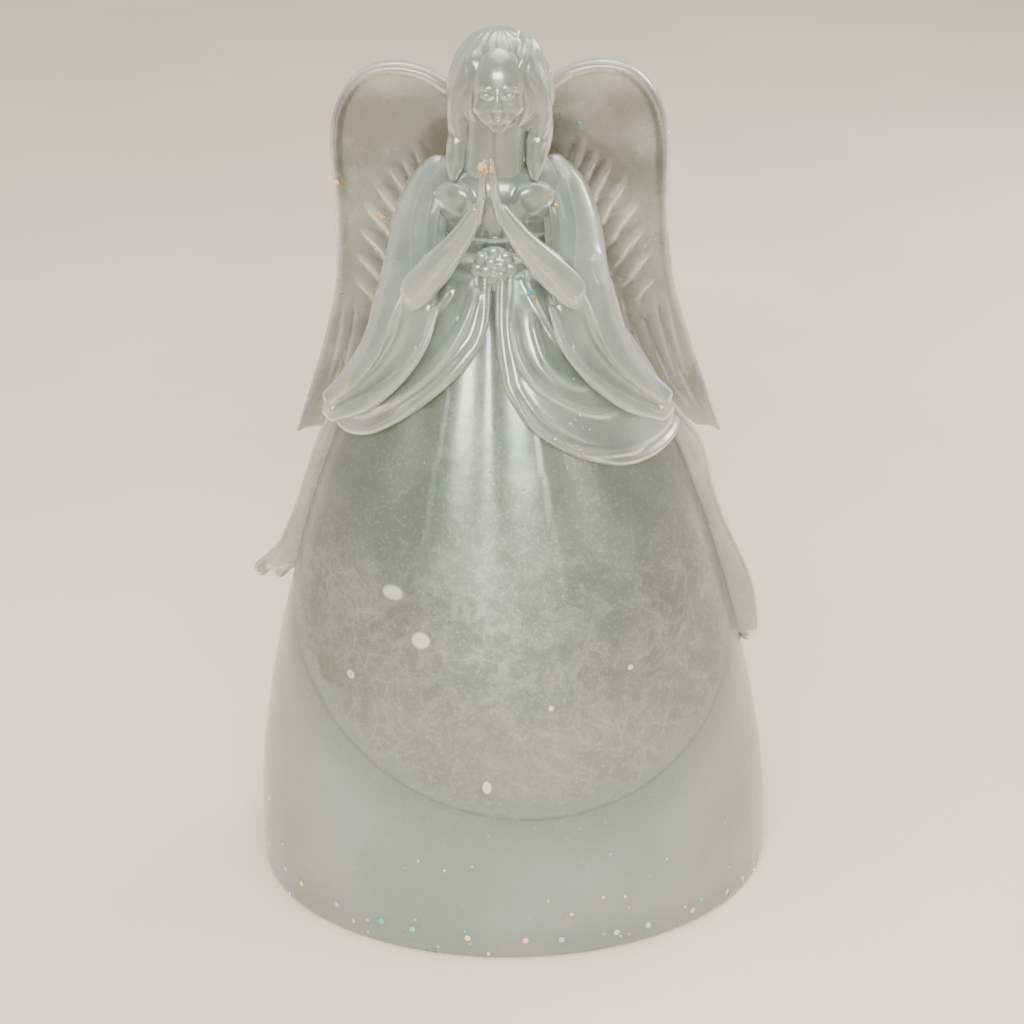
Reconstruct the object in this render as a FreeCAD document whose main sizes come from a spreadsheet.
import FreeCAD, Part
import math
import os

import Sketcher

"""A praying angel cast in pearl resin, 109 mm tall, standing on the flat foot of its bell skirt.

Millimetres. +Z is up, the figure faces -Y, and the origin is the middle of the flat foot.
"left" and "right" are as seen from the front: right is +X. What comes in pairs is built on
the right, and the left one is its mirror image, though each side of the overskirt and the
mantle has a hem of its own. The casting is divided along its sculpted members, which are
bonded face to face, so each member is cut back by those built before it. The skirt holds two
pours of resin that meet on one sloping plane.
"""

doc = FreeCAD.newDocument("AngelFigurine")
sheet = doc.addObject("Spreadsheet::Sheet", "Dimensions")

# ---------------------------------------------------------------- driving dimensions

DIMENSIONS = {
    # where the two pours of the skirt meet: the plane's height on the axis and its slopes
    "pour_height": 41.0,
    "pour_slope": 38.3,
    "pour_lean": 6.3,
    "pour_block": 160.0,
    # overskirt: two panels wrapped over the skirt, crossing below the rosette
    "overskirt_thickness": 1.6,
    "overskirt_top": 83.4,
    "overskirt_side": 25.0,
    "overskirt_depth": 32.0,
    "right_apex_side": 0.3,
    "right_apex_height": 71.0,
    "right_knee_side": 4.2,
    "right_knee_height": 64.8,
    "right_fall_radius": 9.0,
    "right_low_side": 15.2,
    "right_low_height": 59.5,
    "right_hem_radius": 40.0,
    "right_end_height": 60.4,
    "right_end_radius": 26.0,
    "left_apex_side": 0.3,
    "left_apex_height": 76.5,
    "left_knee_side": 2.5,
    "left_knee_height": 73.2,
    "left_fall_radius": 12.0,
    "left_low_side": 15.8,
    "left_low_height": 63.0,
    "left_hem_radius": 60.0,
    "left_end_height": 61.8,
    "left_end_radius": 24.0,
    # belt and the rosette on its front
    "belt_bottom": 83.6,
    "belt_width": 2.2,
    "belt_half_width": 6.9,
    "belt_half_depth": 6.5,
    "rosette_height": 82.6,
    "rosette_forward": 7.6,
    "rosette_radius": 2.8,
    "rosette_half_depth": 1.8,
    # bust, neck and head
    "bust_side": 4.1,
    "bust_forward": 3.9,
    "bust_height": 89.6,
    "bust_radius": 3.1,
    "neck_radius": 2.2,
    "neck_bottom": 93.6,
    "neck_length": 7.0,
    "neck_forward": 1.0,
    "head_height": 103.0,
    "head_forward": 2.6,
    "head_half_width": 3.8,
    "head_half_depth": 4.5,
    "head_half_height": 5.0,
    # hair: a thick cap, open at the face, and a fall behind the neck
    "hair_height": 102.7,
    "hair_forward": 0.3,
    "hair_half_width": 6.1,
    "hair_half_depth": 6.0,
    "hair_half_height": 6.5,
    "face_height": 102.0,
    "face_forward": 7.2,
    "face_half_width": 3.5,
    "face_half_depth": 4.6,
    "face_half_height": 5.4,
    # wing outline as seen from the front: notch beside the head, lobe, flank, tip and underside
    "wing_middle": 0.15,
    "wing_root_top": 98.6,
    "wing_notch_side": 5.8,
    "wing_notch_height": 101.0,
    "wing_crest_side": 12.6,
    "wing_crest_height": 103.9,
    "wing_crest_radius": 9.0,
    "wing_shoulder_side": 20.6,
    "wing_shoulder_height": 94.4,
    "wing_shoulder_radius": 9.4,
    "wing_waist_side": 20.9,
    "wing_waist_height": 74.0,
    "wing_flank_radius": 60.0,
    "wing_tip_side": 27.3,
    "wing_tip_height": 55.2,
    "wing_sweep_radius": 42.0,
    "wing_heel_side": 24.2,
    "wing_heel_height": 54.6,
    "wing_root_bottom": 72.0,
    "wing_under_radius": 34.0,
    "wing_thickness": 2.6,
    "wing_depth": 30.0,
    # mantle outline: the cloth behind flares into a tail at each side, longer on the right
    "mantle_top": 89.6,
    "mantle_side": 36.0,
    "right_tail_height": 28.6,
    "right_step_side": 27.0,
    "right_step_height": 29.6,
    "left_tail_height": 39.4,
    "left_step_side": 29.6,
    "left_step_height": 37.0,
    "mantle_hem_height": 33.0,
    "mantle_hem_radius": 60.0,
    "mantle_depth": 30.0,
    "mantle_behind": 2.0,
    # glitter flakes lying in the skin of the skirt, in a band above its foot
    "flake_radius": 0.42,
    "flake_thickness": 0.12,
    "flake_seat": 0.02,
}

# Horizontal ellipses about the axis, from the bottom up: name, height, half width, half depth.
AXIS_RINGS = {
    "skirt": [
        ("foot", 0.0, 33.0, 28.0),
        ("hem", 9.0, 33.0, 28.0),
        ("calf", 23.0, 31.2, 26.4),
        ("knee", 38.0, 27.8, 23.4),
        ("thigh", 50.0, 24.2, 20.2),
        ("hip", 60.0, 20.4, 17.0),
        ("flank", 69.0, 15.8, 13.5),
        ("seat", 77.0, 10.6, 9.7),
        ("waist", 84.0, 6.5, 6.1),
    ],
    "bodice": [
        ("bottom", 84.0, 6.4, 6.0),
        ("waist", 86.0, 6.0, 5.5),
        ("ribs", 89.5, 6.9, 5.2),
        ("chest", 92.4, 7.6, 4.6),
        ("collar", 95.2, 3.6, 3.3),
    ],
    "mantle": [
        ("lowest", 26.0, 33.6, 28.0),
        ("flare", 38.0, 32.0, 26.2),
        ("knee", 48.0, 27.4, 22.8),
        ("hip", 60.0, 22.2, 18.8),
        ("seat", 74.0, 14.6, 13.2),
        ("back", 86.0, 9.8, 9.0),
        ("collar", 97.0, 7.4, 6.6),
    ],
    "wing_seat": [
        ("lowest", 48.0, 30.4, 22.4),
        ("tip", 58.0, 29.4, 19.0),
        ("low", 68.0, 31.0, 15.4),
        ("middle", 78.0, 36.0, 11.4),
        ("high", 87.0, 47.0, 8.2),
        ("shoulder", 96.0, 55.0, 6.4),
        ("top", 107.0, 58.0, 6.0),
    ],
    "hair_fall": [
        ("ends", 90.0, 5.2, 5.0),
        ("back", 95.0, 7.0, 5.6),
        ("nape", 101.0, 5.6, 5.4),
    ],
}

# The same for what stands beside the axis, with each middle's distance to the side and forward.
SIDE_RINGS = {
    "sleeve": [
        ("tip", 66.2, 0.9, 1.0, 19.3, 9.6),
        ("cuff", 69.6, 2.3, 2.5, 16.0, 10.6),
        ("drape", 73.4, 3.2, 3.5, 12.8, 10.6),
        ("mouth", 77.6, 3.8, 4.4, 10.6, 9.2),
        ("elbow", 81.6, 3.7, 4.8, 9.6, 6.6),
        ("upper_arm", 86.6, 3.3, 4.0, 8.9, 3.0),
        ("shoulder", 91.0, 2.7, 2.9, 7.9, 0.9),
        ("crown", 93.4, 1.3, 1.5, 6.9, 0.4),
    ],
    "forearm": [
        ("elbow", 79.4, 2.2, 2.4, 8.6, 10.8),
        ("middle", 85.4, 1.9, 2.1, 5.0, 12.6),
        ("wrist", 91.2, 1.2, 1.4, 1.5, 13.4),
    ],
    "hand": [
        ("heel", 91.2, 0.95, 1.35, 1.15, 13.4),
        ("palm", 92.6, 0.85, 1.75, 0.9, 13.6),
        ("knuckles", 94.6, 0.7, 1.6, 0.75, 14.0),
        ("fingers", 96.4, 0.5, 1.0, 0.55, 14.2),
        ("tips", 97.4, 0.3, 0.5, 0.4, 14.3),
    ],
    "lock": [
        ("end", 92.6, 0.7, 0.8, 5.9, 4.0),
        ("curl", 94.2, 1.3, 1.4, 5.9, 3.6),
        ("middle", 96.6, 1.4, 1.5, 5.6, 3.2),
        ("root", 99.4, 1.1, 1.2, 4.9, 2.9),
    ],
}

FLAKE_COLOURS = ("gold", "teal", "violet")
FLAKES_PER_COLOUR = 12
FLAKE_SIDES = 6
GOLDEN_ANGLE = 137.508
FLAKE_LOWEST = 1.2
FLAKE_RISE = 7.0


def write_sheet():
    rows = dict(DIMENSIONS)
    measures = ("height", "half_width", "half_depth", "side", "forward")
    for limb, rings in {**AXIS_RINGS, **SIDE_RINGS}.items():
        for ring, *numbers in rings:
            for measure, number in zip(measures, numbers):
                rows[f"{limb}_{ring}_{measure}"] = number
    for row, (alias, number) in enumerate(rows.items(), start=1):
        sheet.set(f"A{row}", alias)
        sheet.set(f"B{row}", str(number))
        sheet.setAlias(f"B{row}", alias)
    doc.recompute()


def cell(alias):
    """The expression that reads one cell of the sheet."""
    return f"Dimensions.{alias}"


def held(alias):
    """The number that the cell holds, for a sketch's first drawing."""
    return float(sheet.get(alias))


def bind(feature, **expressions):
    """Binds properties to expressions. A double underscore stands for the dot in a property's path."""
    for path, expression in expressions.items():
        feature.setExpression(path.replace("__", "."), expression)
    return feature


def place(feature, side="0", forward="0", height="0"):
    return bind(feature, Placement__Base__x=side, Placement__Base__y=f"-({forward})", Placement__Base__z=height)


# ---------------------------------------------------------------- solids and booleans


def loft(name, rings):
    feature = doc.addObject("Part::Loft", f"{name}_loft")
    feature.Sections = rings
    feature.Solid = True
    return feature


def axis_loft(limb, grown_by=None):
    """The loft through a limb's rings about the axis, each grown outward by a cell if one is given."""
    name = f"{limb}_grown" if grown_by else limb
    growth = cell(grown_by) if grown_by else "0"
    rings = []
    for ring, *_ in AXIS_RINGS[limb]:
        ellipse = doc.addObject("Part::Ellipse", f"{name}_{ring}")
        ellipse.MajorRadius, ellipse.MinorRadius = 1000.0, 0.01
        width, depth = (f"{cell(f'{limb}_{ring}_{m}')} + {growth}" for m in ("half_width", "half_depth"))
        bind(ellipse, MajorRadius=width, MinorRadius=depth)
        rings.append(place(ellipse, height=cell(f"{limb}_{ring}_height")))
    return loft(name, rings)


def side_loft(limb, wanted=None, name=None):
    """The loft through the rings of a limb beside the axis, all of them or those named in wanted."""
    name = name or limb
    rings = []
    for ring, *_ in SIDE_RINGS[limb]:
        if wanted and ring not in wanted:
            continue
        ellipse = doc.addObject("Part::Ellipse", f"{name}_{ring}")
        # these ellipses are longer from front to back, so the long axis is turned onto Y
        ellipse.Placement.Rotation = FreeCAD.Rotation(FreeCAD.Vector(0, 0, 1), 90)
        ellipse.MajorRadius, ellipse.MinorRadius = 1000.0, 0.01
        read = {m: cell(f"{limb}_{ring}_{m}") for m in ("half_width", "half_depth", "side", "forward", "height")}
        bind(ellipse, MajorRadius=read["half_depth"], MinorRadius=read["half_width"])
        rings.append(place(ellipse, read["side"], read["forward"], read["height"]))
    return loft(name, rings)


def ellipsoid(name, half_width, half_depth, half_height, side="0", forward="0", height="0"):
    feature = doc.addObject("Part::Ellipsoid", name)
    bind(feature, Radius1=half_height, Radius2=half_width, Radius3=half_depth)
    return place(feature, side, forward, height)


def common(name, *shapes):
    feature = doc.addObject("Part::MultiCommon", name)
    feature.Shapes = list(shapes)
    return feature


def fuse(name, *shapes):
    feature = doc.addObject("Part::MultiFuse", name)
    feature.Shapes = list(shapes)
    return feature


def cut(name, base, tool):
    feature = doc.addObject("Part::Cut", name)
    feature.Base, feature.Tool = base, tool
    return feature


def cut_back(name, base, *neighbours):
    """The base less each of the members built before it."""
    shape = base
    for number, neighbour in enumerate(neighbours, start=1):
        shape = cut(name if number == len(neighbours) else f"{name}_less_{number}", shape, neighbour)
    return shape


def mirror_image(name, source):
    feature = doc.addObject("Part::Mirroring", name)
    feature.Source = source
    feature.Normal = FreeCAD.Vector(1, 0, 0)
    return feature


# ---------------------------------------------------------------- outlines seen from the front


def arc_through(start, end, radius, bulge):
    """The short arc of that radius. bulge is 1 to swell left of the way from start to end, or -1."""
    half = (end - start) * 0.5
    left = FreeCAD.Vector(-half.y, half.x, 0).normalize()
    rise = radius - math.sqrt(radius**2 - half.Length**2)
    return Part.Arc(start, start + half + left * (bulge * rise), end)


def outline_pad(name, corners, depth, forward, behind=None):
    """A closed outline in the XZ plane, or the cell behind's distance behind it, padded forward or back.

    Each corner is (side cell, height cell, cell of the radius of the arc to the next corner or
    None, bulge). A side of None lies on the axis.
    """
    body = doc.addObject("PartDesign::Body", name)
    outline = body.newObject("Sketcher::SketchObject", f"{name}_outline")
    plane = next(feature for feature in body.Origin.OriginFeatures if feature.Role == "XZ_Plane")
    outline.AttachmentSupport = [(plane, "")]
    outline.MapMode = "FlatFace"
    if behind:
        bind(outline, AttachmentOffset__Base__z=f"-{cell(behind)}")
    points = [FreeCAD.Vector(held(side) if side else 0.0, held(height), 0) for side, height, *_ in corners]
    ends = []
    for number, (_, _, radius, bulge) in enumerate(corners):
        start, end = points[number], points[(number + 1) % len(points)]
        line = arc_through(start, end, held(radius), bulge) if radius else Part.LineSegment(start, end)
        edge = outline.addGeometry(line)
        first = 1 if (outline.getPoint(edge, 1) - start).Length < 1e-6 else 2
        ends.append((edge, first, 3 - first))
    for number, (edge, first, _) in enumerate(ends):
        before, _, last = ends[number - 1]
        outline.addConstraint(Sketcher.Constraint("Coincident", before, last, edge, first))
        side, height, radius, _ = corners[number]
        if side:
            pin = outline.addConstraint(Sketcher.Constraint("DistanceX", -1, 1, edge, first, held(side)))
            outline.setExpression(f"Constraints[{pin}]", cell(side))
        else:
            outline.addConstraint(Sketcher.Constraint("PointOnObject", edge, first, -2))
        pin = outline.addConstraint(Sketcher.Constraint("DistanceY", -1, 1, edge, first, held(height)))
        outline.setExpression(f"Constraints[{pin}]", cell(height))
        if radius:
            pin = outline.addConstraint(Sketcher.Constraint("Radius", edge, held(radius)))
            outline.setExpression(f"Constraints[{pin}]", cell(radius))
    pad = body.newObject("PartDesign::Pad", f"{name}_pad")
    pad.Profile = outline
    pad.Reversed = not forward
    bind(pad, Length=cell(depth))
    body.Tip = pad
    return body


def panel_outline(hand):
    """One overskirt panel: down from the belt, round the knee of its hem and out to the side."""
    return outline_pad(
        f"{hand}_panel_block",
        [
            (f"{hand}_apex_side", "overskirt_top", None, 0),
            (f"{hand}_apex_side", f"{hand}_apex_height", f"{hand}_fall_radius", -1),
            (f"{hand}_knee_side", f"{hand}_knee_height", f"{hand}_hem_radius", -1),
            (f"{hand}_low_side", f"{hand}_low_height", f"{hand}_end_radius", -1),
            ("overskirt_side", f"{hand}_end_height", None, 0),
            ("overskirt_side", "overskirt_top", None, 0),
        ],
        "overskirt_depth",
        forward=True,
    )


def wing_outline():
    return outline_pad(
        "wing_block",
        [
            ("wing_middle", "wing_root_top", None, 0),
            ("wing_notch_side", "wing_notch_height", "wing_crest_radius", 1),
            ("wing_crest_side", "wing_crest_height", "wing_shoulder_radius", 1),
            ("wing_shoulder_side", "wing_shoulder_height", "wing_flank_radius", -1),
            ("wing_waist_side", "wing_waist_height", "wing_sweep_radius", -1),
            ("wing_tip_side", "wing_tip_height", None, 0),
            ("wing_heel_side", "wing_heel_height", "wing_under_radius", -1),
            ("wing_middle", "wing_root_bottom", None, 0),
        ],
        "wing_depth",
        forward=False,
    )


def mantle_outline(hand):
    return outline_pad(
        f"{hand}_mantle_block",
        [
            (None, "mantle_top", None, 0),
            ("mantle_side", "mantle_top", None, 0),
            ("mantle_side", f"{hand}_tail_height", None, 0),
            (f"{hand}_step_side", f"{hand}_step_height", "mantle_hem_radius", 1),
            (None, "mantle_hem_height", None, 0),
        ],
        "mantle_depth",
        forward=False,
        behind="mantle_behind",
    )


# ---------------------------------------------------------------- the members


def pour_block():
    """The block under the plane where the pours meet: low at the front, high at the back and left."""
    block = doc.addObject("Part::Box", "pour_block_below")
    size = cell("pour_block")
    bind(block, Length=size, Width=size, Height=size)
    tilt = f"rotation(vector(0; 1; 0); {cell('pour_lean')}) * rotation(vector(1; 0; 0); {cell('pour_slope')})"
    corner = f"vector(-{size} / 2; -{size} / 2; -{size})"
    up = f"vector(0; 0; {cell('pour_height')})"
    return bind(block, Placement=f"placement({up}; {tilt}) * placement({corner}; rotation(vector(0; 0; 1); 0))")


def skirt(members):
    bell = axis_loft("skirt")
    block = pour_block()
    members["skirt_lower_pour"] = common("skirt_lower_pour", bell, block)
    members["skirt_upper_pour"] = cut("skirt_upper_pour", bell, block)
    return bell


def torso(members, bell):
    bust = [
        ellipsoid(
            f"bust_{hand}",
            cell("bust_radius"),
            cell("bust_radius"),
            cell("bust_radius"),
            f"{sign} * {cell('bust_side')}",
            cell("bust_forward"),
            cell("bust_height"),
        )
        for hand, sign in (("right", 1), ("left", -1))
    ]
    torso_mass = fuse("torso_mass", axis_loft("bodice"), *bust)
    members["torso"] = cut_back("torso", torso_mass, bell)
    neck_rod = doc.addObject("Part::Cylinder", "neck_rod")
    bind(neck_rod, Radius=cell("neck_radius"), Height=cell("neck_length"))
    place(neck_rod, forward=cell("neck_forward"), height=cell("neck_bottom"))
    members["neck"] = cut_back("neck", neck_rod, torso_mass)


def head(members):
    skull = ellipsoid(
        "skull",
        *(cell(f"head_half_{m}") for m in ("width", "depth", "height")),
        forward=cell("head_forward"),
        height=cell("head_height"),
    )
    members["head"] = cut_back("head", skull, members["neck"])
    cap = ellipsoid(
        "hair_cap",
        *(cell(f"hair_half_{m}") for m in ("width", "depth", "height")),
        forward=cell("hair_forward"),
        height=cell("hair_height"),
    )
    face_window = ellipsoid(
        "face_window",
        *(cell(f"face_half_{m}") for m in ("width", "depth", "height")),
        forward=cell("face_forward"),
        height=cell("face_height"),
    )
    hair_mass = cut("hair_mass", fuse("cap_and_fall", cap, axis_loft("hair_fall")), face_window)
    members["hair"] = cut_back("hair", hair_mass, skull, members["neck"], members["torso"])


def overskirt(members, bell):
    layer = cut("overskirt_layer", axis_loft("skirt", "overskirt_thickness"), bell)
    members["right_overskirt_panel"] = common("right_overskirt_panel", layer, panel_outline("right"))
    drawn_right = common("left_panel_drawn_right", layer, panel_outline("left"))
    members["left_overskirt_panel"] = mirror_image("left_overskirt_panel", drawn_right)


def belt(members, bell):
    disc = doc.addObject("Part::Ellipse", "belt_edge")
    disc.MajorRadius, disc.MinorRadius = 1000.0, 0.01
    bind(disc, MajorRadius=cell("belt_half_width"), MinorRadius=cell("belt_half_depth"))
    place(disc, height=cell("belt_bottom"))
    band = doc.addObject("Part::Extrusion", "belt_disc")
    band.Base = disc
    band.Dir = FreeCAD.Vector(0, 0, 1)
    band.Solid = True
    bind(band, LengthFwd=cell("belt_width"))
    members["belt"] = cut_back("belt", band, bell, members["torso"])
    button = ellipsoid(
        "rosette_button",
        cell("rosette_radius"),
        cell("rosette_half_depth"),
        cell("rosette_radius"),
        forward=cell("rosette_forward"),
        height=cell("rosette_height"),
    )
    panels = [members[f"{hand}_overskirt_panel"] for hand in ("right", "left")]
    members["belt_rosette"] = cut_back("belt_rosette", button, bell, members["torso"], members["belt"], *panels)


def pair(members, name, right_shape, left_neighbours=()):
    """Keeps the right member and its mirror image, the left one cut back by neighbours of its own."""
    members[f"right_{name}"] = right_shape
    if left_neighbours:
        image = mirror_image(f"left_{name}_image", right_shape)
        members[f"left_{name}"] = cut_back(f"left_{name}", image, *left_neighbours)
    else:
        members[f"left_{name}"] = mirror_image(f"left_{name}", right_shape)


def arms(members, bell):
    ring_names = [ring[0] for ring in SIDE_RINGS["sleeve"]]
    elbow = ring_names.index("elbow")
    body = [bell, members["torso"], members["belt"], members["right_overskirt_panel"]]
    left_panel = [members["left_overskirt_panel"]]
    upper = side_loft("sleeve", ring_names[elbow:], "upper_sleeve")
    pair(members, "upper_sleeve", cut_back("right_upper_sleeve", upper, *body[:3], members["hair"]))
    bell_sleeve = side_loft("sleeve", ring_names[: elbow + 1], "bell_sleeve")
    pair(members, "bell_sleeve", cut_back("right_bell_sleeve", bell_sleeve, *body), left_panel)
    forearm = side_loft("forearm")
    around = [upper, bell_sleeve, members["torso"]]
    pair(members, "forearm", cut_back("right_forearm", forearm, *around))
    pair(members, "hand", side_loft("hand"))


def back(members, bell):
    cloth = axis_loft("mantle")
    sleeves = [members["right_upper_sleeve"], members["right_bell_sleeve"]]
    around = [bell, members["torso"], members["belt"], *sleeves]
    right_half = common("right_mantle_half", cloth, mantle_outline("right"))
    right_mantle = cut_back("right_mantle", right_half, *around)
    members["right_mantle"] = right_mantle
    left_drawn_right = common("left_mantle_drawn_right", right_mantle, mantle_outline("left"))
    members["left_mantle"] = mirror_image("left_mantle", left_drawn_right)
    blade = cut("wing_blade", axis_loft("wing_seat", "wing_thickness"), axis_loft("wing_seat"))
    whole_wing = common("whole_wing", blade, wing_outline())
    pair(members, "wing", cut_back("right_wing", whole_wing, right_mantle, members["hair"], *sleeves))


def locks(members):
    """The two locks of hair that fall in front of the shoulders."""
    around = [members[name] for name in ("hair", "head", "neck", "torso", "right_upper_sleeve", "right_wing")]
    pair(members, "hair_lock", cut_back("right_hair_lock", side_loft("lock"), *around))


def flake_place(number):
    """Where the numbered flake lies: turned by the golden angle each time, at a height that wanders."""
    angle = math.radians(number * GOLDEN_ANGLE)
    height = FLAKE_LOWEST + FLAKE_RISE * ((number * 0.6180339) % 1.0)
    half_width, half_depth = held("skirt_foot_half_width"), held("skirt_foot_half_depth")
    outward = FreeCAD.Vector(math.cos(angle) / half_width, math.sin(angle) / half_depth, 0).normalize()
    seat = FreeCAD.Vector(math.cos(angle) * half_width, math.sin(angle) * half_depth, height)
    turn = FreeCAD.Rotation(FreeCAD.Vector(0, 0, 1), outward)
    return FreeCAD.Placement(seat - outward * held("flake_seat"), turn)


def flakes(members):
    for group, colour in enumerate(FLAKE_COLOURS):
        plates = []
        for number in range(FLAKES_PER_COLOUR):
            plate = doc.addObject("Part::Prism", f"{colour}_flake_{number + 1}")
            plate.Polygon = FLAKE_SIDES
            plate.Placement = flake_place(number * len(FLAKE_COLOURS) + group)
            plates.append(bind(plate, Circumradius=cell("flake_radius"), Height=cell("flake_thickness")))
        compound = doc.addObject("Part::Compound", f"{colour}_flakes")
        compound.Links = plates
        members[f"{colour}_flakes"] = compound


# ---------------------------------------------------------------- build, check and write


def check(feature):
    broken = {"Invalid", "Error"} & set(feature.State)
    if broken:
        raise RuntimeError(f"{feature.Name}: {feature.State}")


def build():
    write_sheet()
    members = {}
    bell = skirt(members)
    torso(members, bell)
    head(members)
    overskirt(members, bell)
    belt(members, bell)
    arms(members, bell)
    back(members, bell)
    locks(members)
    flakes(members)
    doc.recompute()
    for feature in doc.Objects:
        check(feature)
    return members


def write(members):
    os.makedirs("parts", exist_ok=True)
    for node, feature in members.items():
        feature.Label = node
        shape = feature.Shape
        if shape.isNull() or not shape.isValid() or not shape.Solids:
            raise RuntimeError(f"{node} has no sound solid")
        shape.exportStep(os.path.join("parts", f"{node}.step"))


write(build())
